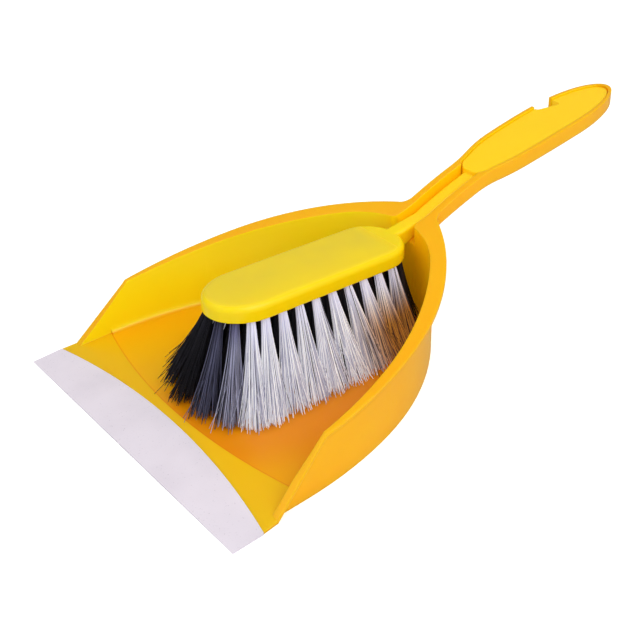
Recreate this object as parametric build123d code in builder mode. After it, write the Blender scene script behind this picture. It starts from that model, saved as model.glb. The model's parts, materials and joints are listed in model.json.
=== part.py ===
"""Hand broom nested in its own dustpan, in millimetres.

The dustpan is one moulding: a leaf-shaped tray with an out-turned rim, and an
open-topped handle that rises behind it. A soft lip grips its front edge. The
broom back is a second moulding: a rounded block, a neck and a grip that lies in
the dustpan's handle. Every tuft is a separate bundle in a blind hole.

+X runs from the lip to the tip of the handle, +Z is up, and the origin is under
the middle of the whole length, on the surface that the dustpan stands on.
"""

import math
import os

from build123d import *

# The whole set
overall_length = 385.0
tip_height = 98.0
mouth_width = 210.0
overrun = 5.0

# Soft lip: how far back it reaches, and the slot that takes the dustpan's edge
lip_end_depth = 18.8
lip_middle_depth = 30.9
lip_end_inset = 0.7
tongue_length = 5.0
tongue_end_inset = 4.0
tongue_bottom = 0.3
tongue_thickness = 0.6

# Tray in plan: places are measured back from the lip's front edge, and insets
# inwards from the sides of the mouth
heel_back = 26.0
land_end_back = 29.0
foot_front_inset = 5.4
foot_bend_back = 50.0
foot_bend_inset = 6.8
foot_flank_back = 115.0
foot_flank_inset = 17.8
foot_quarter_back = 189.0
foot_quarter_inset = 64.1
foot_rear_back = 204.0
foot_rear_width = 26.0
rim_front_overhang = 1.3
rim_corner_back = 62.0
rim_corner_inset = 6.6
rim_flank_back = 135.0
rim_flank_inset = 19.0
rim_rear_back = 215.0
rim_rear_width = 36.0
rim_neck_fillet = 8.0

# Tray in side view
corner_back = 64.6
corner_height = 34.3
neck_back = 217.0
neck_height = 65.2
rim_sag = 1.8
wall = 2.2
rim_thickness = 2.4
wall_draft = 1.0

# Floor: a flat plateau that falls to the lip along a shallow cone
floor_height = 3.5
crease_back = 36.5
crease_radius = 374.0
ramp_slope = 0.065
floor_corner_radius = 4.0
foot_rim_width = 7.0
foot_recess = 0.8

# Flared facet of each wall in front of the crease, bent out along a line up the wall
flare_foot_back = 49.0
flare_top_back = 43.6
flare_top_height = 15.5
flare_reach = 1.6

# Handle of the dustpan, an open-topped channel: its places are shares of the length
# from a datum under the broom's neck to the tip
handle_datum_back = 185.0
handle_start_back = 206.0
neck_rise_angle = 22.0
bend_share = 0.525
bend_height = 85.7
neck_width = 24.8
neck_end_share = 0.345
flare_share = 0.425
flare_width = 29.2
grip_full_share = 0.525
grip_full_width = 35.8
tip_cap_share = 0.75
tip_cap_width = 37.4
handle_depth = 11.5
handle_wall = 2.4
channel_depth = 9.2
slot_width = 15.6
throat_height = 44.0
throat_radius = 5.0
handle_bottom_radius = 4.0

# Hanging notch through the side of the handle, seen from above
notch_front_share = 0.7425
notch_rear_share = 0.82
notch_front_inset = 5.0
notch_rear_inset = 12.0
notch_radius = 2.5

# Fit of the broom in the dustpan
side_clearance = 0.8
seat_clearance = 0.3

# Broom back: block, neck and grip
block_front_back = 61.5
block_rear_back = 197.0
block_width = 43.0
block_front_cap = 26.0
block_rear_cap = 22.0
block_thickness = 10.4
block_bottom_height = 52.1
block_nose_up = 3.2
block_top_radius = 4.0
block_bottom_radius = 1.2
neck_root_back = 184.0
neck_root_drop = 1.2
neck_top_drop = 3.4
neck_bar_width = 10.0
neck_edge_radius = 2.4
grip_start_share = 0.365
grip_nose_radius = 7.6
grip_top_drop = 1.0
grip_wall = 2.2
grip_top_thickness = 2.4
grip_hollow_start_share = 0.435
grip_hollow_end_share = 0.705
grip_rib_thickness = 1.6
grip_ribs = 3

# Tufts: a ring that follows the block's edge, closer together round its front end,
# and two inner rows
ring_inset = 4.6
ring_pitch = 11.43
ring_flank_tufts = 10
ring_front_tufts = 3
inner_tufts = 11
inner_row_offset = 5.2
inner_front_back = 76.0
inner_rear_back = 178.0
hole_diameter = 4.6
hole_depth = 7.0
plug_gap = 0.1
plug_sides = 8
strands_round = 7
strand_size = 0.5
strand_sides = 3
strand_circle_share = 0.62
strand_bury = 0.6
tip_clearance = 0.5
tip_variation = 3.0
tip_length_steps = 8
strand_stride = 5
tuft_stride = 3
strand_turn = 40.0
fan_still_back = 150.0
fan_along = 1.24
fan_across = 2.46
rear_fan_across = 1.5
tuft_fan_along = 3.5
tuft_fan_across = 4.4

match_share = 0.001
half_length = overall_length / 2
lip_end_width = mouth_width - 2 * lip_end_inset
foot_front_width = mouth_width - 2 * foot_front_inset
foot_bend_width = mouth_width - 2 * foot_bend_inset
foot_flank_width = mouth_width - 2 * foot_flank_inset
foot_quarter_width = mouth_width - 2 * foot_quarter_inset
rim_front_width = mouth_width + 2 * rim_front_overhang
rim_corner_width = mouth_width - 2 * rim_corner_inset
rim_flank_width = mouth_width - 2 * rim_flank_inset
handle_length = overall_length - handle_datum_back
neck_end_back = handle_datum_back + neck_end_share * handle_length
grip_start_back = handle_datum_back + grip_start_share * handle_length
flare_back = handle_datum_back + flare_share * handle_length
grip_full_back = handle_datum_back + grip_full_share * handle_length
bend_back = handle_datum_back + bend_share * handle_length
tip_cap_back = handle_datum_back + tip_cap_share * handle_length
notch_front_back = handle_datum_back + notch_front_share * handle_length
notch_rear_back = handle_datum_back + notch_rear_share * handle_length
grip_hollow_start_back = handle_datum_back + grip_hollow_start_share * handle_length
grip_hollow_end_back = handle_datum_back + grip_hollow_end_share * handle_length
crease_centre_x = crease_back + crease_radius - half_length
broom_inset = handle_wall + side_clearance
broom_seat_drop = channel_depth - seat_clearance
block_middle_back = (block_front_back + block_rear_back) / 2
nose_along, nose_across = (math.cos(math.radians(block_nose_up)), math.sin(math.radians(block_nose_up)))
block_plane = Plane(
    origin=(block_middle_back - half_length, 0, block_bottom_height),
    x_dir=(nose_along, 0, -nose_across),
    z_dir=(nose_across, 0, nose_along),
)


def place(back, width=0.0):
    """Point in plan: back from the lip's front edge, half of a width to the side."""
    return (back - half_length, width / 2)


def side(back, height):
    """Point in side view: back from the lip's front edge, up from the ground."""
    return (back - half_length, height)


def direction(angle):
    """Unit vector at an angle in degrees."""
    return (math.cos(math.radians(angle)), math.sin(math.radians(angle)))


def foot_outline(front_back=0.0):
    """Outer outline of the tray where it stands on the ground."""
    with BuildSketch() as outline:
        with BuildLine():
            front = Line(place(front_back, foot_front_width), place(foot_bend_back, foot_bend_width))
            flank = TangentArc(front @ 1, place(foot_flank_back, foot_flank_width), tangent=front % 1)
            quarter = TangentArc(flank @ 1, place(foot_quarter_back, foot_quarter_width), tangent=flank % 1)
            rear = TangentArc(quarter @ 1, place(foot_rear_back, foot_rear_width), tangent=quarter % 1)
            mirror(about=Plane.XZ)
            TangentArc(rear @ 1, place(foot_rear_back, -foot_rear_width), tangent=rear % 1)
            Line(place(front_back, foot_front_width), place(front_back, -foot_front_width))
        make_face()
    return outline.sketch


def handle_outline(start_back, inset=0.0):
    """Outline of the dustpan's handle from above, drawn in by an inset, up to the tip."""
    less = 2 * inset
    tip_reach = overall_length - tip_cap_back - inset
    with BuildSketch() as outline:
        with BuildLine():
            neck = Line(place(start_back, neck_width - less), place(neck_end_back, neck_width - less))
            flare = TangentArc(neck @ 1, place(flare_back, flare_width - less), tangent=neck % 1)
            swell = TangentArc(
                flare @ 1, place(grip_full_back, grip_full_width - less), tangent=flare % 1
            )
            TangentArc(swell @ 1, place(tip_cap_back, tip_cap_width - less), tangent=swell % 1)
            EllipticalCenterArc(
                place(tip_cap_back), tip_reach, (tip_cap_width - less) / 2, 0, arc_size=90
            )
            Line(place(tip_cap_back + tip_reach), place(start_back))
            Line(place(start_back), neck @ 0)
        make_face()
        mirror(about=Plane.XZ)
    return outline.sketch


def grip_outline(start_back, inset, nose_radius):
    """Outline of the handle from above behind its neck, with a rounded front end."""
    with BuildSketch() as outline:
        add(handle_outline(handle_start_back, inset))
        with Locations(place(start_back)):
            Rectangle(
                overall_length, mouth_width, align=(Align.MIN, Align.CENTER), mode=Mode.INTERSECT
            )
        fillet(outline.vertices().sort_by(Axis.X)[:2], nose_radius)
    return outline.sketch


def inner_wall(back, height, out=0.0):
    """Point on the far wall's inner face, ahead of the bend of the foot, moved out."""
    share = back / foot_bend_back
    width = foot_front_width + (foot_bend_width - foot_front_width) * share
    lean = (height - floor_height) * math.tan(math.radians(wall_draft))
    return Vector(back - half_length, width / 2 - wall + lean + out, height)


def rim_outline():
    """Outer edge of the rim, from the lip round to the neck of the handle."""
    with BuildSketch() as outline:
        with BuildLine():
            front = Line(place(0, rim_front_width), place(rim_corner_back, rim_corner_width))
            flank = TangentArc(front @ 1, place(rim_flank_back, rim_flank_width), tangent=(1, 0))
            rear = TangentArc(flank @ 1, place(rim_rear_back, rim_rear_width), tangent=flank % 1)
            mirror(about=Plane.XZ)
            TangentArc(rear @ 1, place(rim_rear_back, -rim_rear_width), tangent=rear % 1)
            Line(place(0, rim_front_width), place(0, -rim_front_width))
        make_face()
    return outline.sketch


def handle_line(start, drop):
    """Top line of the handle from the neck to the tip, moved down by drop."""
    neck = TangentArc(start, side(bend_back, bend_height - drop), tangent=direction(neck_rise_angle))
    return TangentArc(neck @ 1, side(overall_length, tip_height - drop), tangent=neck % 1)


def close_below(first, last):
    """Close a side view from its last point, down below the ground, to its first."""
    bottom = -handle_depth - overrun
    far_x = last.X + overrun
    Polyline(last, (far_x, last.Y), (far_x, bottom), (first.X, bottom), first)


def under_rim(drop):
    """Side view of everything lower than the rim line moved down by drop."""
    with BuildSketch(Plane.XZ) as region:
        with BuildLine():
            slant = Line(side(heel_back, -drop), side(corner_back, corner_height - drop))
            rim = SagittaArc(slant @ 1, side(neck_back, neck_height - drop), -rim_sag)
            grip = handle_line(rim @ 1, drop)
            close_below(slant @ 0, grip @ 1)
        make_face()
    return region.sketch


def under_handle(drop):
    """Side view of everything lower than the handle line, run on straight into the tray."""
    run = neck_back - neck_root_back
    fall = run * math.tan(math.radians(neck_rise_angle))
    with BuildSketch(Plane.XZ) as region:
        with BuildLine():
            lead = Line(
                side(neck_root_back, neck_height - fall - drop), side(neck_back, neck_height - drop)
            )
            grip = handle_line(lead @ 1, drop)
            close_below(lead @ 0, grip @ 1)
        make_face()
    return region.sketch


def lip_outline():
    """Outline of the soft lip from above: straight in front, an arc behind."""
    with BuildSketch() as outline:
        with BuildLine():
            Line(place(0, mouth_width), place(0, -mouth_width))
            Line(place(0, -mouth_width), place(lip_end_depth, -lip_end_width))
            ThreePointArc(
                place(lip_end_depth, -lip_end_width),
                place(lip_middle_depth),
                place(lip_end_depth, lip_end_width),
            )
            Line(place(lip_end_depth, lip_end_width), place(0, mouth_width))
        make_face()
    return outline.sketch


def notch_outline():
    """Hanging notch from above: open at the side, deeper towards the tip."""
    open_width = tip_cap_width + notch_rear_inset
    with BuildSketch() as outline:
        with BuildLine():
            Polyline(
                place(notch_front_back, open_width),
                place(notch_front_back, tip_cap_width - 2 * notch_front_inset),
                place(notch_rear_back, tip_cap_width - 2 * notch_rear_inset),
                place(notch_rear_back, open_width),
                close=True,
            )
        make_face()
        fillet(outline.vertices().sort_by(Axis.Y)[:2], notch_radius)
    return outline.sketch


def block_outline(inset=0.0):
    """Outline of the broom's block from above, on its own plane."""
    front_cap_x = block_front_back + block_front_cap - block_middle_back
    rear_cap_x = block_rear_back - block_rear_cap - block_middle_back
    half_width = block_width / 2 - inset
    with BuildSketch() as outline:
        with BuildLine():
            EllipticalCenterArc((front_cap_x, 0), block_front_cap - inset, half_width, 90, arc_size=180)
            Line((front_cap_x, -half_width), (rear_cap_x, -half_width))
            EllipticalCenterArc((rear_cap_x, 0), block_rear_cap - inset, half_width, -90, arc_size=180)
            Line((rear_cap_x, half_width), (front_cap_x, half_width))
        make_face()
    return outline.sketch


def tuft_places():
    """Centres of the tuft holes on the block's underside, as (name, x, y)."""
    front_cap_x = block_front_back + block_front_cap - block_middle_back
    rear_cap_x = block_rear_back - block_rear_cap - block_middle_back
    half_width = block_width / 2 - ring_inset
    with BuildLine() as half_ring:
        EllipticalCenterArc(
            (front_cap_x, 0), block_front_cap - ring_inset, half_width, 180, arc_size=90
        )
        Line((front_cap_x, -half_width), (rear_cap_x, -half_width))
        EllipticalCenterArc(
            (rear_cap_x, 0), block_rear_cap - ring_inset, half_width, -90, arc_size=90
        )
    path = half_ring.wire()
    flank_share = ring_flank_tufts * ring_pitch / path.length
    front_share = 2 * (1 - flank_share) / (2 * ring_front_tufts + 1)
    places = []
    for step in range(ring_flank_tufts + ring_front_tufts + 1):
        if step <= ring_flank_tufts:
            from_rear = flank_share * step / ring_flank_tufts
        else:
            from_rear = flank_share + front_share * (step - ring_flank_tufts)
        point = path @ (1 - from_rear)
        places.append((f"tuft_ring_near_{step:02d}", point.X, point.Y))
        if step > 0:
            places.append((f"tuft_ring_far_{step:02d}", point.X, -point.Y))
    pitch = (inner_rear_back - inner_front_back) / (inner_tufts - 1)
    for step in range(inner_tufts):
        x = inner_front_back + step * pitch - block_middle_back
        places.append((f"tuft_inner_near_{step:02d}", x, -inner_row_offset))
        places.append((f"tuft_inner_far_{step:02d}", x, inner_row_offset))
    return places


def fanned_tip(x, y, along, across):
    """Where a strand would end on the floor: its tuft's lean, plus its own spread."""
    still_x = fan_still_back - half_length
    root = block_plane.from_local_coords((x, y, 0))
    reach = root.X - still_x
    lean = fan_along if reach < 0 else 1.0
    rearward = max(0, reach) / (block_rear_back - fan_still_back)
    spread = fan_across + (rear_fan_across - fan_across) * rearward
    tip_z = floor_height + tip_clearance
    return Vector(
        still_x + reach * lean + along * tuft_fan_along,
        y * spread + across * tuft_fan_across,
        tip_z,
    )


def strand(root, tip, turn):
    """One bristle as a thin prism from its root to its tip."""
    axis = tip - root
    frame = Plane(origin=root, x_dir=(1, 0, 0), z_dir=axis)
    corners = []
    for corner in range(strand_sides):
        across, up = direction(turn + corner * 360 / strand_sides)
        corners.append(frame.from_local_coords((strand_size * across, strand_size * up, 0)))
    return Solid.extrude(Face(Wire.make_polygon(corners)), axis)


def tuft_strands(x, y, number):
    """All the strands of one tuft: one in the middle and the rest round it."""
    circle = hole_diameter / 2 * strand_circle_share
    strands = []
    for step in range(strands_round + 1):
        radius = circle if step < strands_round else 0
        along, across = (radius * part for part in direction(step * 360 / strands_round))
        root = block_plane.from_local_coords((x + along, y + across, strand_bury))
        end = fanned_tip(x, y, along, across)
        length_step = (step * strand_stride + number * tuft_stride) % tip_length_steps
        shorter = tip_variation * length_step / tip_length_steps
        tip = end + (root - end) * (shorter / (root - end).length)
        strands.append(strand(root, tip, step * strand_turn))
    return strands


# The shallow cone that the floor and the lip share
with BuildPart() as ramp_cone:
    with Locations((crease_centre_x, 0)):
        Cone(
            crease_radius + floor_height / ramp_slope,
            crease_radius,
            floor_height,
            align=(Align.CENTER, Align.CENTER, Align.MIN),
        )

# Tray walls up to the rim line
with BuildPart() as tray_wall:
    extrude(foot_outline(), amount=tip_height, taper=-wall_draft)
    extrude(under_rim(0), amount=mouth_width, both=True, mode=Mode.INTERSECT)

# Out-turned rim: a band that follows the rim line and flows into the handle's sides
with BuildSketch() as rim_plan:
    add(rim_outline())
    add(handle_outline(handle_start_back))
    corners = rim_plan.vertices().filter_by(
        lambda vertex: vertex.X < place(neck_end_back)[0] - rim_neck_fillet
        and math.isclose(abs(vertex.Y), neck_width / 2, rel_tol=match_share)
    )
    fillet(corners, rim_neck_fillet)

with BuildPart() as rim_band:
    extrude(rim_plan.sketch, amount=tip_height)
    extrude(under_rim(0), amount=mouth_width, both=True, mode=Mode.INTERSECT)
    extrude(under_rim(rim_thickness), amount=mouth_width, both=True, mode=Mode.SUBTRACT)

# Outer body of the handle, rounded underneath
with BuildPart() as handle_body:
    extrude(handle_outline(handle_start_back), amount=tip_height)
    extrude(under_rim(0), amount=mouth_width, both=True, mode=Mode.INTERSECT)
    extrude(under_handle(handle_depth), amount=mouth_width, both=True, mode=Mode.SUBTRACT)
    underside = handle_body.faces().filter_by(lambda face: face.normal_at().Z < 0)
    fillet(underside.edges().filter_by(Axis.Y, reverse=True), handle_bottom_radius)

# Room inside the tray, with a rounded corner round the floor
with BuildPart() as tray_room:
    with BuildSketch(Plane.XY.offset(floor_height)):
        add(foot_outline())
        offset(amount=-wall, kind=Kind.INTERSECTION)
    extrude(amount=tip_height, taper=-wall_draft)
    fillet(tray_room.edges().group_by(Axis.Z)[0], floor_corner_radius)

# Room over the ramp, in front of the crease, where the corner stays sharp
with BuildPart() as ramp_room:
    with BuildSketch():
        add(foot_outline())
        offset(amount=-wall, kind=Kind.INTERSECTION)
    extrude(amount=floor_height + floor_corner_radius)
    with Locations((crease_centre_x, 0)):
        Cylinder(
            crease_radius,
            overall_length,
            mode=Mode.SUBTRACT,
        )
    add(ramp_cone.part, mode=Mode.SUBTRACT)

# Room in front of each wall's flared facet, above the ramp
foot_point = inner_wall(flare_foot_back, floor_height)
top_point = inner_wall(flare_top_back, flare_top_height)
heel_point = inner_wall(heel_back, floor_height, flare_reach)
flare_normal = (heel_point - foot_point).cross(top_point - foot_point)
with BuildPart() as flare_room:
    with BuildSketch(Plane(origin=foot_point, x_dir=heel_point - foot_point, z_dir=flare_normal)):
        Rectangle(2 * flare_foot_back, 2 * corner_height)
    extrude(amount=-wall)
    with Locations(place(flare_foot_back)):
        Box(
            2 * flare_foot_back,
            mouth_width,
            2 * corner_height,
            align=(Align.MAX, Align.CENTER, Align.CENTER),
            mode=Mode.INTERSECT,
        )
    add(ramp_cone.part, mode=Mode.SUBTRACT)

# Slot for the broom's neck: its mouth is rounded where it leaves the tray
with BuildSketch() as throat_plan:
    add(foot_outline())
    offset(amount=throat_height * math.tan(math.radians(wall_draft)) - wall, kind=Kind.INTERSECTION)
    with Locations(place(neck_root_back)):
        Rectangle(
            grip_start_back + grip_nose_radius - neck_root_back,
            slot_width,
            align=(Align.MIN, Align.CENTER),
        )
    mouths = throat_plan.vertices().filter_by(
        lambda vertex: vertex.X < place(grip_start_back)[0]
        and math.isclose(abs(vertex.Y), slot_width / 2, rel_tol=match_share)
    )
    fillet(mouths, throat_radius)
    with Locations(place(neck_root_back)):
        Rectangle(
            overall_length, mouth_width, align=(Align.MIN, Align.CENTER), mode=Mode.INTERSECT
        )

# Room for the grip: its outline with a clearance all round
grip_room_plan = grip_outline(
    grip_start_back - side_clearance, handle_wall, grip_nose_radius + side_clearance
)

with BuildPart() as channel:
    extrude(throat_plan.sketch, amount=tip_height + overrun)
    extrude(grip_room_plan, amount=tip_height + overrun)
    extrude(under_handle(channel_depth), amount=mouth_width, both=True, mode=Mode.SUBTRACT)

# Land in front of the tray, as wide as the rim, with the tongue that the lip grips
with BuildPart() as front_land:
    with BuildSketch():
        add(rim_outline())
        with Locations(place(0)):
            Rectangle(2 * lip_end_depth, 2 * mouth_width, mode=Mode.SUBTRACT)
        with Locations(place(overall_length)):
            Rectangle(2 * (overall_length - land_end_back), 2 * mouth_width, mode=Mode.SUBTRACT)
    extrude(amount=floor_height)
    add(ramp_cone.part, mode=Mode.INTERSECT)

with BuildPart() as tongue:
    with BuildSketch(Plane.XY.offset(tongue_bottom)):
        add(lip_outline())
        add(Pos(-tongue_length, 0) * lip_outline(), mode=Mode.SUBTRACT)
        with Locations(place(lip_middle_depth)):
            Rectangle(
                2 * lip_middle_depth, lip_end_width - 2 * tongue_end_inset, mode=Mode.INTERSECT
            )
    extrude(amount=tongue_thickness)

with BuildPart() as dustpan:
    add(tray_wall.part)
    add(rim_band.part)
    add(handle_body.part)
    add(front_land.part)
    add(tray_room.part, mode=Mode.SUBTRACT)
    add(ramp_room.part, mode=Mode.SUBTRACT)
    add(flare_room.part, mode=Mode.SUBTRACT)
    add(flare_room.part.mirror(Plane.XZ), mode=Mode.SUBTRACT)
    add(channel.part, mode=Mode.SUBTRACT)
    extrude(lip_outline(), amount=floor_height + overrun, mode=Mode.SUBTRACT)
    add(tongue.part)
    with BuildSketch():
        add(foot_outline(lip_middle_depth))
        offset(amount=-foot_rim_width, kind=Kind.INTERSECTION)
    extrude(amount=foot_recess, mode=Mode.SUBTRACT)
    extrude(notch_outline(), amount=tip_height, mode=Mode.SUBTRACT)
dustpan.part.label = "dustpan"

with BuildPart() as front_lip:
    extrude(lip_outline(), amount=floor_height)
    add(ramp_cone.part, mode=Mode.INTERSECT)
    add(tongue.part, mode=Mode.SUBTRACT)
front_lip.part.label = "front_lip"

# Broom back
tufts = tuft_places()

with BuildPart() as block:
    with BuildSketch(block_plane):
        add(block_outline())
    extrude(amount=block_thickness)
    fillet(block.faces().sort_by(Axis.Z)[-1].edges(), block_top_radius)
    fillet(block.faces().sort_by(Axis.Z)[0].edges(), block_bottom_radius)

# Neck: from the block's rear end into the channel
neck_root = block_plane.from_local_coords(
    (neck_root_back - block_middle_back, 0, block_thickness - neck_root_drop)
)
with BuildPart() as neck:
    with BuildSketch():
        with Locations(place(neck_root_back)):
            Rectangle(
                grip_start_back + grip_nose_radius - neck_root_back,
                neck_bar_width,
                align=(Align.MIN, Align.CENTER),
            )
    extrude(amount=tip_height)
    with BuildSketch(Plane.XZ):
        with BuildLine():
            rise = Line(
                (neck_root.X, neck_root.Z), side(neck_back, neck_height - neck_top_drop)
            )
            grip_top = handle_line(rise @ 1, neck_top_drop)
            close_below(rise @ 0, grip_top @ 1)
        make_face()
    extrude(amount=mouth_width, both=True, mode=Mode.INTERSECT)
    ridges = neck.edges().filter_by(
        lambda edge: math.isclose(abs(edge.center().Y), neck_bar_width / 2, rel_tol=match_share)
    )
    fillet(ridges.group_by(Axis.Z)[-1] + ridges.group_by(Axis.Z)[-2], neck_edge_radius)
    extrude(under_handle(broom_seat_drop), amount=mouth_width, both=True, mode=Mode.SUBTRACT)
    split(bisect_by=block_plane)

# Grip: a plate with a rounded front end that nearly fills the channel
with BuildSketch() as grip_plan:
    add(grip_outline(grip_start_back, broom_inset, grip_nose_radius))
    add(notch_outline(), mode=Mode.SUBTRACT)

with BuildPart() as grip:
    extrude(grip_plan.sketch, amount=tip_height)
    extrude(under_handle(grip_top_drop), amount=mouth_width, both=True, mode=Mode.INTERSECT)
    extrude(under_handle(broom_seat_drop), amount=mouth_width, both=True, mode=Mode.SUBTRACT)

# Hollow under the grip, with ribs across it
with BuildPart() as grip_hollow:
    with BuildSketch():
        add(handle_outline(handle_start_back, broom_inset + grip_wall))
        with Locations(place(grip_hollow_start_back)):
            Rectangle(
                grip_hollow_end_back - grip_hollow_start_back,
                mouth_width,
                align=(Align.MIN, Align.CENTER),
                mode=Mode.INTERSECT,
            )
        rib_pitch = (grip_hollow_end_back - grip_hollow_start_back) / (grip_ribs + 1)
        for rib in range(grip_ribs):
            with Locations(place(grip_hollow_start_back + (rib + 1) * rib_pitch)):
                Rectangle(grip_rib_thickness, mouth_width, mode=Mode.SUBTRACT)
    extrude(amount=tip_height)
    extrude(
        under_handle(grip_top_drop + grip_top_thickness),
        amount=mouth_width,
        both=True,
        mode=Mode.INTERSECT,
    )

with BuildPart() as broom_back:
    add(block.part)
    add(neck.part)
    add(grip.part)
    add(grip_hollow.part, mode=Mode.SUBTRACT)
    with Locations([block_plane * Pos(x, y) for name, x, y in tufts]):
        Cylinder(
            hole_diameter / 2,
            2 * hole_depth,
            mode=Mode.SUBTRACT,
        )
broom_back.part.label = "broom_back"

os.makedirs("parts", exist_ok=True)
export_step(dustpan.part, "parts/dustpan.step")
export_step(front_lip.part, "parts/front_lip.step")
export_step(broom_back.part, "parts/broom_back.step")

for number, (name, x, y) in enumerate(tufts):
    with BuildPart() as tuft:
        with BuildSketch(block_plane * Pos(x, y)):
            RegularPolygon(hole_diameter / 2 - plug_gap, plug_sides)
        extrude(amount=hole_depth)
        add(tuft_strands(x, y, number))
    tuft.part.label = name
    export_step(tuft.part, f"parts/{name}.step")
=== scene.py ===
"""Looks of a hand broom nested in its dustpan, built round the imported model, in metres.

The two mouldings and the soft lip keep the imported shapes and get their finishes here.
The tufts get full bundles of fibres, made by one Geometry Nodes tree from the packed
tufts' own roots and tips.
"""

import json
import logging
import math
from dataclasses import dataclass, field
from enum import Enum
from typing import Any

import bpy
from mathutils import Matrix, Vector

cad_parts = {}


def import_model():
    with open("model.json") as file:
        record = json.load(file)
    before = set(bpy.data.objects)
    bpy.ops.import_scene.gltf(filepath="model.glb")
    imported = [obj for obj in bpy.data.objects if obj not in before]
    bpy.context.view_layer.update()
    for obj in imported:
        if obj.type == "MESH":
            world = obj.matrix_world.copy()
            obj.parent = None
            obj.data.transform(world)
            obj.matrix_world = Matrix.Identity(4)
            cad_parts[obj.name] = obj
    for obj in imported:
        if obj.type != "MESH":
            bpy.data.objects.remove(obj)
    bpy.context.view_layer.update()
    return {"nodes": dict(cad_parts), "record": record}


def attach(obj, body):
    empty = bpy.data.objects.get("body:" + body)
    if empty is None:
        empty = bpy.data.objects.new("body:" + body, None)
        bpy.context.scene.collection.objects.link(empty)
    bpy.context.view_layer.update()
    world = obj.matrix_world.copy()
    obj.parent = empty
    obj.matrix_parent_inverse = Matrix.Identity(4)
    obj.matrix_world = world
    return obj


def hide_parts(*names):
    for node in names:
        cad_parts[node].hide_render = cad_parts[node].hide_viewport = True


LOG = logging.getLogger("hand_broom")

# The curve between a screen's colours and linear light
SCREEN_KNEE = 0.04045
SCREEN_SLOPE = 12.92
SCREEN_OFFSET = 0.055
SCREEN_POWER = 2.4

# A colour, a place in metres, and the two ends of a smooth ramp
Colour = tuple[float, float, float]
Place = tuple[float, float, float]
Span = tuple[float, float]


def linear(red: int, green: int, blue: int) -> Colour:
    """Turn a colour as seen on screen into scene-linear values.

    Args:
        red: Red from 0 to 255.
        green: Green from 0 to 255.
        blue: Blue from 0 to 255.

    Returns:
        The three linear values from 0 to 1.
    """
    shares = (value / 255 for value in (red, green, blue))
    return tuple(
        share / SCREEN_SLOPE
        if share <= SCREEN_KNEE
        else ((share + SCREEN_OFFSET) / (1 + SCREEN_OFFSET)) ** SCREEN_POWER
        for share in shares
    )


class Body(Enum):
    """The moving body that the fibres ride on."""

    BROOM = "broom"


class Axis(Enum):
    """One coordinate of a place or of a normal."""

    X = "X"
    Y = "Y"
    Z = "Z"


class Draw(Enum):
    """A fibre's random draws, each with its own step from the seed."""

    TURN = 0
    RADIUS = 1
    FRAY_ALONG = 2
    FRAY_ACROSS = 3
    FRAY_UP = 4
    REACH = 5
    TONE = 6
    STRAY = 7


class Value:
    """A number in a shader or a geometry tree, used in plain Python expressions."""

    def __init__(self, tree: "Tree", socket: bpy.types.NodeSocket) -> None:
        """Keep the tree and the socket that gives the number."""
        self.tree = tree
        self.socket = socket

    def __add__(self, other: Any) -> "Value":
        """Sum."""
        return self.tree.math("ADD", self, other)

    def __radd__(self, other: Any) -> "Value":
        """Sum, from the right."""
        return self.tree.math("ADD", other, self)

    def __sub__(self, other: Any) -> "Value":
        """Difference."""
        return self.tree.math("SUBTRACT", self, other)

    def __rsub__(self, other: Any) -> "Value":
        """Difference, from the right."""
        return self.tree.math("SUBTRACT", other, self)

    def __mul__(self, other: Any) -> "Value":
        """Product."""
        return self.tree.math("MULTIPLY", self, other)

    def __rmul__(self, other: Any) -> "Value":
        """Product, from the right."""
        return self.tree.math("MULTIPLY", other, self)

    def __pow__(self, other: Any) -> "Value":
        """Power."""
        return self.tree.math("POWER", self, other)


class Tree:
    """A node tree that is written as expressions."""

    def __init__(self, nodes: bpy.types.NodeTree) -> None:
        """Keep the node tree that nodes are added to."""
        self.nodes = nodes

    def plug(self, socket: bpy.types.NodeSocket, value: Any) -> None:
        """Set or link one input.

        Args:
            socket: The input.
            value: A Value, a socket or a constant.
        """
        if isinstance(value, Value):
            value = value.socket
        if isinstance(value, bpy.types.NodeSocket):
            self.nodes.links.new(value, socket)
        else:
            socket.default_value = value

    def add(
        self, kind: str, settings: dict[str, Any] | None = None, **inputs: Any
    ) -> bpy.types.Node:
        """Add one node.

        Args:
            kind: The node's type.
            settings: Its own settings, set before its inputs.
            inputs: Input values by name with _ for a space, or by in_ and a number.

        Returns:
            The node.
        """
        node = self.nodes.nodes.new(kind)
        for name, setting in (settings or {}).items():
            setattr(node, name, setting)
        for name, value in inputs.items():
            key = int(name[3:]) if name.startswith("in_") else name.replace("_", " ")
            self.plug(node.inputs[key], value)
        return node

    def math(self, operation: str, *values: Any) -> Value:
        """Add a Math node.

        Args:
            operation: Its operation.
            values: Its inputs, in order.

        Returns:
            Its result.
        """
        inputs = {f"in_{number}": value for number, value in enumerate(values)}
        node = self.add("ShaderNodeMath", {"operation": operation}, **inputs)
        return Value(self, node.outputs[0])

    def vector_math(self, operation: str, *values: Any) -> bpy.types.NodeSocket:
        """Add a Vector Math node.

        Args:
            operation: Its operation.
            values: Its inputs, in order. SCALE takes a vector and a number.

        Returns:
            Its vector.
        """
        node = self.add("ShaderNodeVectorMath", {"operation": operation})
        if operation == "SCALE":
            self.plug(node.inputs[0], values[0])
            self.plug(node.inputs["Scale"], values[1])
        else:
            for number, value in enumerate(values):
                self.plug(node.inputs[number], value)
        return node.outputs["Vector"]


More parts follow.
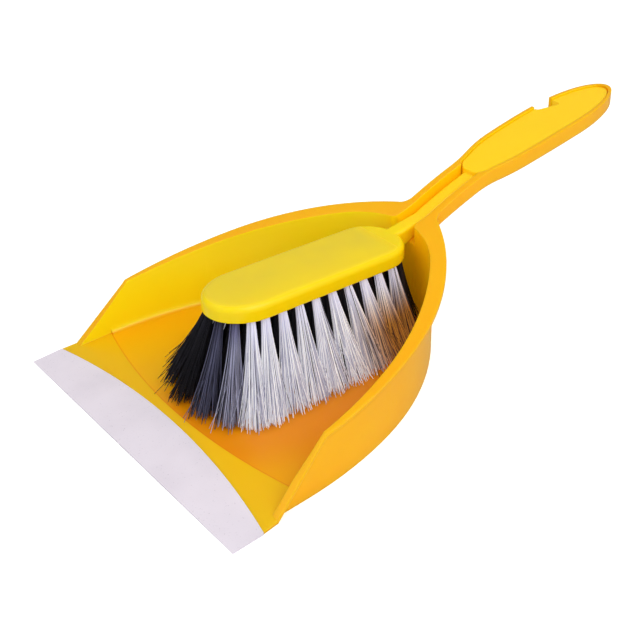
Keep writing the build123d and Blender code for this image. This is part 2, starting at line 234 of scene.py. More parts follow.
class ShaderTree(Tree):
    """A material's node tree."""

    edge_samples = 6

    def __init__(self, material: bpy.types.Material) -> None:
        """Empty the material's tree and give it a Principled shader.

        Args:
            material: The material.
        """
        material.use_nodes = True
        super().__init__(material.node_tree)
        self.nodes.nodes.clear()
        self.shader = self.add("ShaderNodeBsdfPrincipled")
        output = self.add("ShaderNodeOutputMaterial")
        self.nodes.links.new(self.shader.outputs[0], output.inputs["Surface"])

    def place(self) -> bpy.types.NodeSocket:
        """Place on the piece, in metres in the shared frame."""
        return self.add("ShaderNodeTexCoord").outputs["Object"]

    def noise(self, scale: float, detail: float = 2.0, place: Any = None) -> Value:
        """Add a noise pattern.

        Args:
            scale: Its waves in a metre.
            detail: Its octaves.
            place: Where it is read, or None for the place on the piece.

        Returns:
            Its height, about 0.5 on average.
        """
        node = self.add(
            "ShaderNodeTexNoise",
            Vector=self.place() if place is None else place,
            Scale=scale,
            Detail=detail,
        )
        return Value(self, node.outputs[0])

    def band(self, value: Any, low: float, high: float) -> Value:
        """Ramp a value smoothly from 0 at low to 1 at high.

        Args:
            value: What is ramped.
            low: Where the ramp starts.
            high: Where the ramp ends.

        Returns:
            A share from 0 to 1.
        """
        node = self.add(
            "ShaderNodeMapRange",
            {"interpolation_type": "SMOOTHSTEP"},
            Value=value,
            From_Min=low,
            From_Max=high,
        )
        return Value(self, node.outputs[0])

    def mix(self, share: Any, first: Any, second: Any) -> bpy.types.NodeSocket:
        """Mix two colours.

        Args:
            share: How much of the second colour, from 0 to 1.
            first: A linear colour or a colour socket.
            second: A linear colour or a colour socket.

        Returns:
            The mixed colour.
        """
        node = self.add("ShaderNodeMix", {"data_type": "RGBA"})
        self.plug(node.inputs["Factor"], share)
        for socket, colour in ((node.inputs[6], first), (node.inputs[7], second)):
            self.plug(socket, (*colour, 1.0) if isinstance(colour, tuple) else colour)
        return node.outputs[2]

    def bump(self, height: Any, distance: float, edge: float = 0.0) -> None:
        """Raise the surface by a pattern, and round its edges if asked.

        Args:
            height: The pattern, from 0 to 1.
            distance: How high 1 stands, in metres.
            edge: Radius that sharp edges seem to have, in metres, or 0 for none.
        """
        node = self.add("ShaderNodeBump", Height=height, Distance=distance)
        if edge:
            rounded = self.add("ShaderNodeBevel", {"samples": self.edge_samples}, Radius=edge)
            self.nodes.links.new(rounded.outputs[0], node.inputs["Normal"])
        self.nodes.links.new(node.outputs[0], self.shader.inputs["Normal"])

    def glow(self, share: Any, colour: Colour) -> None:
        """Paint a glow as emission, standing in for light that the body passes on.

        Args:
            share: Where it shines, from 0 to 1.
            colour: What shines there, as linear light.
        """
        self.shader.inputs["Emission Strength"].default_value = 1.0
        self.plug(self.shader.inputs["Emission Color"], self.mix(share, (0.0, 0.0, 0.0), colour))

    def part(self, vector: bpy.types.NodeSocket, axis: Axis) -> Value:
        """One coordinate of a vector.

        Args:
            vector: The vector.
            axis: Which coordinate.

        Returns:
            The coordinate.
        """
        return Value(self, self.add("ShaderNodeSeparateXYZ", Vector=vector).outputs[axis.value])

    def measure(self, operation: str, first: Any, second: Any) -> Value:
        """Add a Vector Math node that gives a number.

        Args:
            operation: Its operation, such as DOT_PRODUCT or DISTANCE.
            first: Its first vector.
            second: Its second vector.

        Returns:
            The number.
        """
        node = self.add("ShaderNodeVectorMath", {"operation": operation}, in_0=first, in_1=second)
        return Value(self, node.outputs["Value"])

    def normal(self) -> bpy.types.NodeSocket:
        """Direction that the surface faces."""
        return self.add("ShaderNodeNewGeometry").outputs["Normal"]


@dataclass(frozen=True)
class Finish:
    """What every finish has: its name and its shader's constants."""

    name: str
    roughness: float = 0.4
    specular: float = 0.3
    subsurface: float = 0.0
    subsurface_scale: float = 0.002
    subsurface_radius: Colour = (1.0, 0.7, 0.12)

    def material(self) -> bpy.types.Material:
        """Make the material.

        Returns:
            The finished material.
        """
        material = bpy.data.materials.new(self.name)
        tree = ShaderTree(material)
        sockets = tree.shader.inputs
        sockets["Roughness"].default_value = self.roughness
        sockets["Specular IOR Level"].default_value = self.specular
        sockets["Subsurface Weight"].default_value = self.subsurface
        sockets["Subsurface Scale"].default_value = self.subsurface_scale
        sockets["Subsurface Radius"].default_value = self.subsurface_radius
        self.dress(tree)
        return material

    def dress(self, tree: ShaderTree) -> None:
        """Add the finish's own pattern to its tree."""
        raise NotImplementedError


@dataclass(frozen=True)
class PanPlastic(Finish):
    """Glossy see-through yellow plastic, with a painted glow on its walls and painted shade on
    its floor.
    """

    body: Colour = linear(255, 184, 6)
    cloud: Colour = linear(250, 168, 4)
    cloud_scale: float = 18.0
    cloud_detail: float = 4.0
    cloud_height: Span = (0.35, 0.7)
    cloud_share: float = 0.35
    # Painted light on the tray's walls, where they face its middle: a lemon colour on the far
    # side and a painted glow, for light that passes through the walls
    painted_wall_light: Colour = linear(255, 220, 12)
    painted_wall_glow: Colour = (0.06, 0.045, 0.0)
    wall_across: Span = (-0.02, 0.03)
    middle_x: float = -0.09
    inward: Span = (0.0, 0.006)
    upward: Span = (0.6, 0.95)
    handle_along: Span = (0.02, 0.03)
    # Painted shade on the tray's floor behind its crease, darker towards the near side and less
    # in its near corner, a painted shade line along the crease, and the ramp in front of it
    floor: Colour = linear(236, 142, 2)
    floor_height: Span = (0.005, 0.006)
    floor_shade_across: Span = (-0.005, 0.045)
    ramp: Colour = linear(244, 188, 10)
    # Painted shade along the crease
    painted_crease_shade: Colour = linear(224, 122, 0)
    crease_shade_share: float = 0.6
    crease_centre: Place = (0.218, 0.0, 0.0)
    crease_radius: float = 0.374
    crease_width: float = 0.0006
    corner_depth: float = 0.045
    corner_across: Span = (-0.085, -0.045)
    corner_shade_cut: float = 0.7
    # The skin
    peel_scale: float = 700.0
    peel_height: float = 0.00001
    scratch_scale: float = 260.0
    scratch_stretch: float = 14.0
    scratch_height: Span = (0.55, 0.75)
    scuff: float = 0.1
    edge: float = 0.0009

    def dress(self, tree: ShaderTree) -> None:
        """Paint light on the walls and shade on the floor, scuff the gloss and raise the peel.

        Args:
            tree: The material's tree.
        """
        place = tree.place()
        cloud = tree.band(tree.noise(self.cloud_scale, self.cloud_detail), *self.cloud_height)
        colour = tree.mix(cloud * self.cloud_share, self.body, self.cloud)
        up = tree.band(tree.part(tree.normal(), Axis.Z), *self.upward)
        walls = self.inside(tree) * (1.0 - up)
        far = tree.band(tree.part(place, Axis.Y), *self.wall_across)
        # Painted light: lemon on the far inner walls
        colour = self.floor_colour(tree, tree.mix(walls * far, colour, self.painted_wall_light), up)
        tree.plug(tree.shader.inputs["Base Color"], colour)
        # Painted glow on the inner walls
        tree.glow(walls, self.painted_wall_glow)
        stretched = tree.add(
            "ShaderNodeMapping", Vector=place, Scale=(1.0, self.scratch_stretch, 1.0)
        )
        scratches = tree.noise(self.scratch_scale, place=stretched.outputs[0])
        worn = tree.band(scratches, *self.scratch_height)
        tree.plug(tree.shader.inputs["Roughness"], self.roughness + worn * self.scuff)
        tree.bump(tree.noise(self.peel_scale), self.peel_height, self.edge)

    def inside(self, tree: ShaderTree) -> Value:
        """Find the surfaces that face the tray's middle.

        Args:
            tree: The material's tree.

        Returns:
            1 on them and 0 elsewhere.
        """
        place, normal = tree.place(), tree.normal()
        x, y = tree.part(place, Axis.X), tree.part(place, Axis.Y)
        tray = 1.0 - tree.band(x, *self.handle_along)
        inward = 0.0 - tree.part(normal, Axis.X) * (x - self.middle_x) * tray
        return tree.band(inward - tree.part(normal, Axis.Y) * y, *self.inward)

    def floor_colour(self, tree: ShaderTree, colour: Any, up: Value) -> bpy.types.NodeSocket:
        """Paint shade on the tray's floor and along its crease, and colour its ramp.

        Args:
            tree: The material's tree.
            colour: The colour of all else.
            up: 1 where the surface faces up.

        Returns:
            The colour with the floor's painted shade and its ramp.
        """
        place = tree.place()
        y, z = tree.part(place, Axis.Y), tree.part(place, Axis.Z)
        floor = up * (1.0 - tree.band(z, *self.floor_height))
        ground = tree.vector_math("MULTIPLY", place, (1.0, 1.0, 0.0))
        ahead = tree.measure("DISTANCE", ground, self.crease_centre) - self.crease_radius
        ramp = tree.band(ahead, 0.0, self.crease_width)
        # Painted shade: a thin darker line just behind the crease
        line = tree.band(ahead, -self.crease_width, 0.0) * (1.0 - ramp)
        near = 1.0 - tree.band(y, *self.corner_across)
        corner = tree.band(ahead, -self.corner_depth, 0.0) * near
        # Painted shade on the floor behind the crease, darker towards the near side and less in
        # the near corner
        floor_shade = (1.0 - tree.band(y, *self.floor_shade_across)) * (1.0 - corner * self.corner_shade_cut)
        colour = tree.mix(floor * (1.0 - ramp) * floor_shade, colour, self.floor)
        colour = tree.mix(floor * ramp, colour, self.ramp)
        return tree.mix(floor * line * self.crease_shade_share, colour, self.painted_crease_shade)


@dataclass(frozen=True)
class BroomPlastic(Finish):
    """Lemon plastic, frosted on top of the block, and warmer with a painted glow where it lies in
    the handle.
    """

    body: Colour = linear(252, 218, 12)
    # The frosted top of the block, with a haze that fades towards the near edge
    frost: Colour = linear(230, 203, 48)
    frost_upward: Span = (0.8, 1.0)
    frost_along: Span = (-0.017, -0.005)
    frost_across: Span = (-0.024, 0.01)
    frost_near_share: float = 0.3
    frost_roughness: float = 0.3
    haze_scale: float = 35.0
    haze_height: Span = (0.2, 0.8)
    haze_share: float = 0.35
    # The neck and the grip, where they lie in the handle: a warmer colour and a painted glow
    warm: Colour = linear(255, 206, 24)
    warm_painted_glow: Colour = (0.09, 0.05, 0.0)
    warm_along: Span = (0.0, 0.03)
    # The skin
    grain_scale: float = 2600.0
    grain_height: float = 0.00004
    edge: float = 0.0006

    def dress(self, tree: ShaderTree) -> None:
        """Frost the top, warm the grip with a painted glow and leave the sides glossy.

        Args:
            tree: The material's tree.
        """
        place = tree.place()
        x, y = tree.part(place, Axis.X), tree.part(place, Axis.Y)
        flat = tree.band(tree.part(tree.normal(), Axis.Z), *self.frost_upward)
        frosted = flat * (1.0 - tree.band(x, *self.frost_along))
        far_share, haze_rest = 1.0 - self.frost_near_share, 1.0 - self.haze_share
        far = tree.band(y, *self.frost_across) * far_share + self.frost_near_share
        cloud = tree.band(tree.noise(self.haze_scale), *self.haze_height)
        haze = far * (cloud * self.haze_share + haze_rest)
        warm = tree.band(x, *self.warm_along)
        # Painted glow on the neck and the grip
        tree.glow(warm, self.warm_painted_glow)
        colour = tree.mix(frosted * haze, self.body, self.frost)
        tree.plug(tree.shader.inputs["Base Color"], tree.mix(warm, colour, self.warm))
        rough = self.roughness + frosted * self.frost_roughness
        tree.plug(tree.shader.inputs["Roughness"], rough)
        tree.bump(tree.noise(self.grain_scale) * frosted, self.grain_height, self.edge)


@dataclass(frozen=True)
class SoftRubber(Finish):
    """Pale matt rubber with a fine tooth and a little dust in specks and clouds."""

    body: Colour = linear(231, 223, 233)
    dust: Colour = linear(192, 184, 196)
    speck_scale: float = 900.0
    speck_height: Span = (0.66, 0.74)
    speck_share: float = 0.5
    cloud_scale: float = 30.0
    cloud_detail: float = 3.0
    cloud_height: Span = (0.3, 0.8)
    cloud_share: float = 0.25
    tooth_scale: float = 3200.0
    tooth_height: float = 0.00003

    def dress(self, tree: ShaderTree) -> None:
        """Speck the colour and raise the tooth.

        Args:
            tree: The material's tree.
        """
        specks = tree.band(tree.noise(self.speck_scale), *self.speck_height)
        cloud = tree.band(tree.noise(self.cloud_scale, self.cloud_detail), *self.cloud_height)
        dusty = specks * self.speck_share + cloud * self.cloud_share
        tree.plug(tree.shader.inputs["Base Color"], tree.mix(dusty, self.body, self.dust))
        tree.bump(tree.noise(self.tooth_scale), self.tooth_height)


@dataclass(frozen=True)
class Fibre(Finish):
    """Drawn plastic fibre, a little different in tone from one fibre to the next."""

    body: Colour = linear(252, 253, 255)
    shadow: Colour = linear(150, 150, 178)
    tone_span: Span = (0.0, 0.9)
    # Painted shade towards the root end of the fibres
    root: Colour = linear(226, 226, 244)
    root_shade_span: Span = (0.0, 0.35)
    # Painted reflection of the dustpan's orange on the rear fibres' tips, with painted shade
    # between them
    warm: Colour = linear(216, 146, 24)
    warm_shadow: Colour = linear(72, 40, 4)
    warm_tone: Span = (0.1, 0.9)
    warm_along: Span = (-0.062, -0.03)
    warm_down: Span = (0.15, 0.65)
    painted_reflection_share: float = 0.0
    # Painted shade: dark fibres mixed in at random, for the shade between fibres
    shade_fibre: Colour = linear(30, 30, 36)
    stray_share: float = 0.0
    shade_fibre_blend: float = 0.01
    # Painted glow, for light that passes through the fibres
    painted_glow_share: float = 0.0

    def dress(self, tree: ShaderTree) -> None:
        """Vary the tone, paint shade at the root end, paint the dustpan's reflected orange on the
        rear tips, mix in dark fibres as painted shade and add any painted glow.

        Args:
            tree: The material's tree.
        """
        tone, down = (
            Value(tree, tree.add("ShaderNodeAttribute", {"attribute_name": name}).outputs["Fac"])
            for name in ("fibre_tone", "fibre_along")
        )
        colour = tree.mix(tree.band(tone, *self.tone_span), self.shadow, self.body)
        # Painted shade at the root end
        colour = tree.mix(1.0 - tree.band(down, *self.root_shade_span), colour, self.root)
        # Painted reflection of the dustpan's orange on the rear tips
        if self.painted_reflection_share:
            rear = tree.band(tree.part(tree.place(), Axis.X), *self.warm_along)
            warm = rear * tree.band(down, *self.warm_down) * self.painted_reflection_share
            reflected_tint = tree.mix(tree.band(tone, *self.warm_tone), self.warm_shadow, self.warm)
            colour = tree.mix(warm, colour, reflected_tint)
        # Painted shade: dark fibres
        if self.stray_share:
            shade_fibres = 1.0 - tree.band(tone, self.stray_share - self.shade_fibre_blend, self.stray_share)
            colour = tree.mix(shade_fibres, colour, self.shade_fibre)
        tree.plug(tree.shader.inputs["Base Color"], colour)
        # Painted glow
        if self.painted_glow_share:
            tree.glow(self.painted_glow_share, colour)


class GeometryTree(Tree):
    """A Geometry Nodes tree with named inputs."""

    def __init__(self, name: str) -> None:
        """Make an empty tree with a geometry input and output.

        Args:
            name: The tree's name.
        """
        super().__init__(bpy.data.node_groups.new(name, "GeometryNodeTree"))
        self.face = self.nodes.interface
        self.face.new_socket("Geometry", in_out="INPUT", socket_type="NodeSocketGeometry")
        self.face.new_socket("Geometry", in_out="OUTPUT", socket_type="NodeSocketGeometry")
        self.start = self.add("NodeGroupInput")
        self.end = self.add("NodeGroupOutput")

    def input(self, name: str, kind: str) -> Value:
        """Add a named input.

        Args:
            name: Its name.
            kind: Float, Int or Material.

        Returns:
            The input's value.
        """
        self.face.new_socket(name, in_out="INPUT", socket_type=f"NodeSocket{kind}")
        return Value(self, self.start.outputs[name])

    def random(self, low: Any, high: Any, salt: Any) -> Value:
        """A random number for each element.

        Args:
            low: The least.
            high: The most.
            salt: The seed.

        Returns:
            The number.
        """
        node = self.add("FunctionNodeRandomValue", {"data_type": "FLOAT"})
        for number, value in ((2, low), (3, high), (8, salt)):
            self.plug(node.inputs[number], value)
        return Value(self, node.outputs[1])

    def vector(self, x: Any, y: Any, z: Any) -> bpy.types.NodeSocket:
        """A vector from three numbers."""
        return self.add("ShaderNodeCombineXYZ", X=x, Y=y, Z=z).outputs[0]

    def store(self, geometry: Any, name: str, kind: str, value: Any) -> bpy.types.NodeSocket:
        """Store a named attribute on the points.

        Args:
            geometry: The geometry.
            name: The attribute's name.
            kind: FLOAT or FLOAT_VECTOR.
            value: What is stored.

        Returns:
            The geometry that holds it.
        """
        node = self.add(
            "GeometryNodeStoreNamedAttribute",
            {"data_type": kind, "domain": "POINT"},
            Geometry=geometry,
            Name=name,
            Value=value,
        )
        return node.outputs[0]

    def named(self, name: str, kind: str) -> bpy.types.NodeSocket:
        """Read a named attribute back."""
        node = self.add("GeometryNodeInputNamedAttribute", {"data_type": kind}, Name=name)
        return node.outputs[0]


@dataclass
class FibreTree:
    """The Geometry Nodes tree that fills a hole with fibres, from its root to its tuft's tip."""

    segments: int = 5
    sides: int = 3
    stray_gain: float = 3.0
    fray_up: float = 0.4
    fray_power: float = 3.0
    tree: GeometryTree = field(init=False)

    def __post_init__(self) -> None:
        """Build the tree: its points, a curve on each, and the curves' skin."""
        self.tree = tree = GeometryTree("fibre_bundles")
        count = tree.input("Fibres per Hole", "Int")
        hole = tree.input("Hole Radius", "Float")
        along = tree.input("Spread Along", "Float")
        across = tree.input("Spread Across", "Float")
        flare = tree.input("Flare", "Float")
        fray = tree.input("Fray", "Float")
        strays = tree.input("Stray Share", "Float")
        short = tree.input("Shortening", "Float")
        thick = tree.input("Fibre Radius", "Float")
        seed = tree.input("Seed", "Int")
        material = tree.input("Material", "Material")
        points = self.points(count, hole, fray, strays, short, seed)
        curves = self.curves(points, along, across, flare)
        tree.nodes.links.new(self.skin(curves, thick, material), tree.end.inputs[0])

    def draw(self, seed: Value, which: Draw, low: float = 0.0, high: float = 1.0) -> Value:
        """One of a fibre's random draws.

        Args:
            seed: The tree's seed.
            which: The draw.
            low: The least.
            high: The most.

        Returns:
            The number.
        """
        return self.tree.random(low, high, seed + which.value)

    def points(
        self, count: Value, hole: Value, fray: Value, strays: Value, short: Value, seed: Value
    ) -> bpy.types.NodeSocket:
        """Make one point for each fibre and draw what makes it differ.

        Args:
            count: Fibres in a hole.
            hole: The hole's radius.
            fray: How far a tip strays.
            strays: Share of fibres that stray further.
            short: How much shorter a fibre may be, as a share.
            seed: The tree's seed.

        Returns:
            The points, with each fibre's draws as attributes.
        """
        tree = self.tree
        bundle = tree.add(
            "GeometryNodeDuplicateElements",
            {"domain": "POINT"},
            Geometry=tree.start.outputs["Geometry"],
            Amount=count,
        )
        turn = self.draw(seed, Draw.TURN, high=math.tau)
        radius = hole * self.draw(seed, Draw.RADIUS) ** 0.5
        x, y = radius * tree.math("COSINE", turn), radius * tree.math("SINE", turn)
        ragged = tree.vector(
            self.draw(seed, Draw.FRAY_ALONG, low=-1.0),
            self.draw(seed, Draw.FRAY_ACROSS, low=-1.0),
            self.draw(seed, Draw.FRAY_UP, high=self.fray_up),
        )
        astray = tree.math("LESS_THAN", self.draw(seed, Draw.STRAY), strays)
        wild = fray * (1.0 + astray * self.stray_gain)
        root = tree.add("GeometryNodeInputPosition").outputs[0]
        rows = (
            ("hole_place", "FLOAT_VECTOR", tree.vector(x, y, 0.0)),
            ("ragged", "FLOAT_VECTOR", tree.vector_math("SCALE", ragged, wild)),
            ("reach", "FLOAT", 1.0 - self.draw(seed, Draw.REACH) * short),
            ("fibre_tone", "FLOAT", self.draw(seed, Draw.TONE)),
            ("tuft_root", "FLOAT_VECTOR", root),
        )
        geometry = bundle.outputs[0]
        for name, kind, value in rows:
            geometry = tree.store(geometry, name, kind, value)
        return geometry

    def curves(
        self, points: bpy.types.NodeSocket, along: Value, across: Value, flare: Value
    ) -> bpy.types.NodeSocket:
        """Lay a curve for each fibre, from its place in the hole out to the tip.

        Args:
            points: The fibres' points.
            along: How much wider the bundle is at its tip, along the broom.
            across: The same, across the broom.
            flare: How late it opens up.

        Returns:
            The curves.
        """
        tree = self.tree
        line = tree.add("GeometryNodeCurvePrimitiveLine")
        fine = tree.add(
            "GeometryNodeResampleCurve", Curve=line.outputs[0], Count=self.segments + 1
        )
        laid = tree.add("GeometryNodeInstanceOnPoints", Points=points, Instance=fine.outputs[0])
        loose = tree.add("GeometryNodeRealizeInstances", Geometry=laid.outputs[0])

        step = Value(tree, tree.add("GeometryNodeSplineParameter").outputs["Factor"])
        part = step * Value(tree, tree.named("reach", "FLOAT"))
        root, tip = (tree.named(name, "FLOAT_VECTOR") for name in ("tuft_root", "tuft_tip"))
        drop = tree.vector_math("SCALE", tree.vector_math("SUBTRACT", tip, root), part)
        centre = tree.vector_math("ADD", root, drop)
        open_up = part**flare
        fan = tree.vector(1.0 + (along - 1.0) * open_up, 1.0 + (across - 1.0) * open_up, 0.0)
        off = tree.vector_math("MULTIPLY", tree.named("hole_place", "FLOAT_VECTOR"), fan)
        ragged = tree.named("ragged", "FLOAT_VECTOR")
        bent = tree.vector_math("SCALE", ragged, part**self.fray_power)
        place = tree.vector_math("ADD", tree.vector_math("ADD", centre, off), bent)
        moved = tree.add("GeometryNodeSetPosition", Geometry=loose.outputs[0], Position=place)
        return tree.store(moved.outputs[0], "fibre_along", "FLOAT", part)

    def skin(
        self, curves: bpy.types.NodeSocket, thick: Value, material: Value
    ) -> bpy.types.NodeSocket:
        """Give the curves their thickness and their material.

        Args:
            curves: The fibres' curves.
            thick: A fibre's radius.
            material: Its material.

        Returns:
            The fibres.
        """
        tree = self.tree
        ring = tree.add("GeometryNodeCurvePrimitiveCircle", Resolution=self.sides, Radius=thick)
        skin = tree.add("GeometryNodeCurveToMesh", Curve=curves, in_1=ring.outputs[0])
        smooth = tree.add("GeometryNodeSetShadeSmooth", Geometry=skin.outputs[0])
        whole = tree.add("GeometryNodeRealizeInstances", Geometry=smooth.outputs[0])
        dressed = tree.add(
            "GeometryNodeSetMaterial", Geometry=whole.outputs[0], Material=material
        )
        return dressed.outputs[0]

    def set_input(self, modifier: bpy.types.NodesModifier, name: str, value: Any) -> None:
        """Set a modifier's input by its socket's identifier.

        Args:
            modifier: The modifier that runs this tree.
            name: The input's name.
            value: Its value.
        """
        for item in self.tree.face.items_tree:
            if item.item_type == "SOCKET" and item.in_out == "INPUT" and item.name == name:
                modifier[item.identifier] = value


@dataclass
class Bristles:
    """The broom's fibres: one piece for each colour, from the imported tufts."""

    fibres_per_hole: int = 220
    hole_radius: float = 0.0022
    plug_depth: float = 0.007
    tip_band: float = 0.004
    spread_along: float = 4.4
    spread_across: float = 3.2
    flare: float = 1.2
    fray: float = 0.0022
    stray_share: float = 0.06
    shortening: float = 0.045
    fibre_radius: float = 0.00018
    seed: int = 7

    def root_and_tip(self, node: bpy.types.Object) -> tuple[Vector, Vector]:
        """Find where a packed tuft leaves its hole and where it ends.

        Args:
            node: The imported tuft.

        Returns:
            The middle of its root and the middle of its tips.
        """
        points = [vertex.co for vertex in node.data.vertices]
        top = max(point.z for point in points)
        foot = min(point.z for point in points)
        plug = [point for point in points if point.z > top - self.plug_depth / 2]
        tips = [point for point in points if point.z < foot + self.tip_band]
        root = sum(plug, Vector()) / len(plug)
        root.z = top - self.plug_depth
        tip = sum(tips, Vector()) / len(tips)
        tip.z = foot
        return root, tip

    def holes(self, name: str, nodes: list[bpy.types.Object]) -> bpy.types.Object:
        """Make one point for each hole, with its tuft's tip.

        Args:
            name: The piece's name.
            nodes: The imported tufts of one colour.

        Returns:
            The object that the tree is run on.
        """
        ends = [self.root_and_tip(node) for node in nodes]
        mesh = bpy.data.meshes.new(name)
        mesh.from_pydata([root for root, _ in ends], [], [])
        tips = mesh.attributes.new("tuft_tip", "FLOAT_VECTOR", "POINT")
        tips.data.foreach_set("vector", [value for _, tip in ends for value in tip])
        holes = bpy.data.objects.new(name, mesh)
        bpy.context.scene.collection.objects.link(holes)
        return holes

    def grow(
        self, tree: FibreTree, slot: str, nodes: list[bpy.types.Object], finish: Fibre
    ) -> None:
        """Grow the fibres of one colour.

        Args:
            tree: The tree that fills a hole.
            slot: The record's slot, which names the piece too.
            nodes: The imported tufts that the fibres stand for.
            finish: The fibres' finish.
        """
        piece = self.holes(f"fibres_{slot}", nodes)
        modifier = piece.modifiers.new("fibres", "NODES")
        modifier.node_group = tree.tree.nodes
        inputs = {
            "Fibres per Hole": self.fibres_per_hole,
            "Hole Radius": self.hole_radius,
            "Spread Along": self.spread_along,
            "Spread Across": self.spread_across,
            "Flare": self.flare,
            "Fray": self.fray,
            "Stray Share": self.stray_share,
            "Shortening": self.shortening,
            "Fibre Radius": self.fibre_radius,
            "Seed": self.seed,
            "Material": finish.material(),
        }
        for name, value in inputs.items():
            tree.set_input(modifier, name, value)
        evaluated = piece.evaluated_get(bpy.context.evaluated_depsgraph_get())
        grown = bpy.data.meshes.new_from_object(evaluated)
        piece.modifiers.clear()
        piece.data = grown
        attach(piece, Body.BROOM.value)
        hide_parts(*[node.name for node in nodes])
        LOG.info("%s: %d faces from %d tufts", piece.name, len(grown.polygons), len(nodes))


@dataclass
class Mouldings:
    """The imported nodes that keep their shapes: the dustpan, its lip and the broom's back."""

    pan: Finish = PanPlastic(
        "pan_plastic", roughness=0.28, subsurface=0.5, subsurface_scale=0.005
    )
    lip: Finish = SoftRubber("lip_rubber", roughness=0.55)
    back: Finish = BroomPlastic(
        "back_plastic", roughness=0.22, subsurface=0.5, subsurface_scale=0.005
    )

    def dress(self, nodes: dict[str, bpy.types.Object]) -> None:
        """Give each moulding its finish.

        Args:
            nodes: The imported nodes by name.
        """
        finishes = {"dustpan": self.pan, "front_lip": self.lip, "broom_back": self.back}
        for name, finish in finishes.items():
            node = nodes[name]
            node.data.materials.clear()
            node.data.materials.append(finish.material())
            LOG.info("%s: %s", name, finish.name)


@dataclass(frozen=True)
class Lamp:
    """A square soft light, in metres from the aim and in watts."""

    name: str
    place: Place
    size: float
    power: float


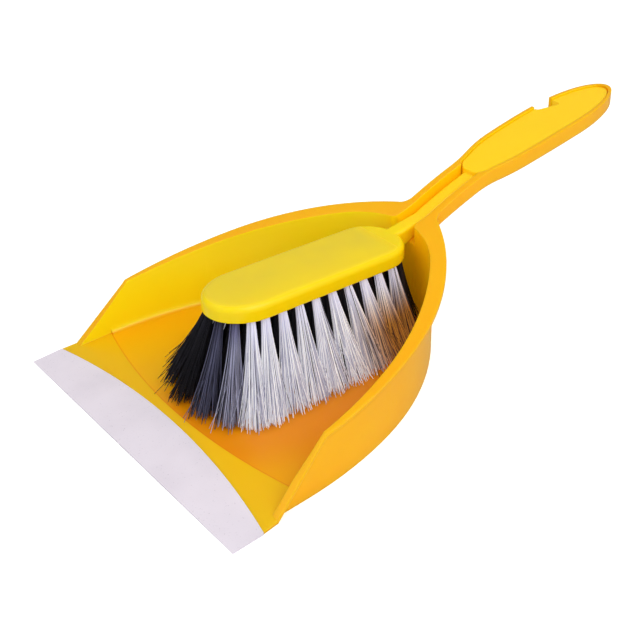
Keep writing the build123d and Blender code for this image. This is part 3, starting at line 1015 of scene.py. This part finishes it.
@dataclass
class Studio:
    """White floor and backdrop, soft light and the camera at the photograph's angle."""

    azimuth: float = -37.0
    elevation: float = 33.44
    roll: float = -2.82
    distance: float = 0.63847
    aim: Vector = field(default_factory=lambda: Vector((-0.06333, -0.01128, 0.030)))
    lens: float = 62.53
    floor_size: float = 12.0
    floor_colour: Colour = (0.86, 0.86, 0.86)
    floor_lift: Colour = (0.45, 0.45, 0.45)
    sky_strength: float = 0.6
    sky_gloss: float = 0.22
    floor_gloss: Colour = (0.4, 0.4, 0.4)
    floor_roughness: float = 0.9
    near_clip: float = 0.01
    lamps: tuple[Lamp, ...] = (
        Lamp("key", (0.15, -0.8, 1.0), 1.1, 8.5),
        Lamp("fill", (-0.9, 0.2, 0.8), 1.2, 3.0),
        Lamp("glint", (-0.7, -0.85, 0.25), 0.12, 0.45),
    )

    def add_camera(self) -> None:
        """Set the camera by its angle, its roll and its distance from the aim."""
        turn, rise = math.radians(-self.azimuth), math.radians(self.elevation)
        ahead = Vector(
            (math.sin(turn) * math.cos(rise), math.cos(turn) * math.cos(rise), -math.sin(rise))
        )
        right = Vector((math.cos(turn), -math.sin(turn), 0.0))
        up = right.cross(ahead)
        data = bpy.data.cameras.new("camera")
        data.lens = self.lens
        data.clip_start = self.near_clip
        camera = bpy.data.objects.new("camera", data)
        axes = Matrix((right, up, -ahead)).transposed().to_4x4()
        turned = axes @ Matrix.Rotation(math.radians(self.roll), 4, "Z")
        camera.matrix_world = Matrix.Translation(self.aim - ahead * self.distance) @ turned
        bpy.context.scene.collection.objects.link(camera)
        bpy.context.scene.camera = camera

    def add_lamp(self, lamp: Lamp) -> None:
        """Hang a lamp so that it faces the object.

        Args:
            lamp: The lamp.
        """
        data = bpy.data.lights.new(lamp.name, "AREA")
        data.size = lamp.size
        data.energy = lamp.power
        light = bpy.data.objects.new(lamp.name, data)
        away = Vector(lamp.place)
        light.rotation_mode = "QUATERNION"
        light.location = self.aim + away
        light.rotation_quaternion = (-away).to_track_quat("-Z", "Y")
        bpy.context.scene.collection.objects.link(light)

    def add_floor(self) -> None:
        """Lay a white floor that keeps the object's shadow."""
        half = self.floor_size / 2
        mesh = bpy.data.meshes.new("floor")
        corners = [(-half, -half, 0), (half, -half, 0), (half, half, 0), (-half, half, 0)]
        mesh.from_pydata(corners, [], [(0, 1, 2, 3)])
        floor = bpy.data.objects.new("floor", mesh)
        bpy.context.scene.collection.objects.link(floor)
        material = bpy.data.materials.new("floor_white")
        tree = ShaderTree(material)
        tree.shader.inputs["Roughness"].default_value = self.floor_roughness
        rays = tree.add("ShaderNodeLightPath")
        mirrored = Value(tree, rays.outputs["Is Glossy Ray"])
        tree.plug(
            tree.shader.inputs["Base Color"],
            tree.mix(mirrored, self.floor_colour, self.floor_gloss),
        )
        tree.glow(Value(tree, rays.outputs["Is Camera Ray"]), self.floor_lift)
        mesh.materials.append(material)

    def add_sky(self) -> None:
        """Light all round: white behind the object, softer as light."""
        world = bpy.data.worlds.new("studio")
        bpy.context.scene.world = world
        world.use_nodes = True
        tree = Tree(world.node_tree)
        tree.nodes.nodes.clear()
        rays = tree.add("ShaderNodeLightPath")
        seen = Value(tree, rays.outputs["Is Camera Ray"])
        mirrored = Value(tree, rays.outputs["Is Glossy Ray"])
        light = self.sky_strength + mirrored * (self.sky_gloss - self.sky_strength)
        strength = light + seen * (1.0 - self.sky_strength)
        sky = tree.add("ShaderNodeBackground", Color=(1.0, 1.0, 1.0, 1.0), Strength=strength)
        output = tree.add("ShaderNodeOutputWorld")
        tree.nodes.links.new(sky.outputs[0], output.inputs["Surface"])

    def build(self) -> None:
        """Set up the camera, the floor, the sky and the lamps."""
        bpy.context.scene.view_settings.view_transform = "Standard"
        self.add_camera()
        self.add_floor()
        self.add_sky()
        for lamp in self.lamps:
            self.add_lamp(lamp)


# root is painted shade at the fibres' root end; the white fibres also get a painted reflection of
# the dustpan and a painted glow
FIBRES = {
    "bristle_white": Fibre(
        "white_fibre",
        roughness=0.3,
        specular=0.5,
        stray_share=0.06,
        painted_reflection_share=0.95,
        painted_glow_share=0.2,
    ),
    "bristle_slate": Fibre(
        "slate_fibre",
        body=linear(194, 196, 226),
        shadow=linear(34, 34, 52),
        root=linear(110, 110, 152),
        stray_share=0.15,
    ),
    "bristle_charcoal": Fibre(
        "charcoal_fibre",
        body=linear(112, 114, 146),
        shadow=linear(24, 24, 36),
        root=linear(70, 70, 100),
        stray_share=0.15,
    ),
    "bristle_black": Fibre(
        "black_fibre",
        body=linear(48, 47, 56),
        shadow=linear(18, 17, 22),
        root=linear(34, 34, 46),
    ),
}


def slots_of_nodes(record: dict[str, Any]) -> dict[str, str]:
    """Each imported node's material slot, by node."""
    return {row["node"]: row["material_slot"] for row in record["subparts"]}


def main() -> None:
    """Build the set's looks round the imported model."""
    logging.basicConfig(level=logging.INFO, format="%(message)s")
    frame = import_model()
    nodes = frame["nodes"]
    Mouldings().dress(nodes)
    slots = slots_of_nodes(frame["record"])
    tree = FibreTree()
    bristles = Bristles()
    for slot, finish in FIBRES.items():
        tufts = [nodes[name] for name in sorted(nodes) if slots.get(name) == slot]
        bristles.grow(tree, slot, tufts, finish)
    Studio().build()


if __name__ == "__main__":
    main()
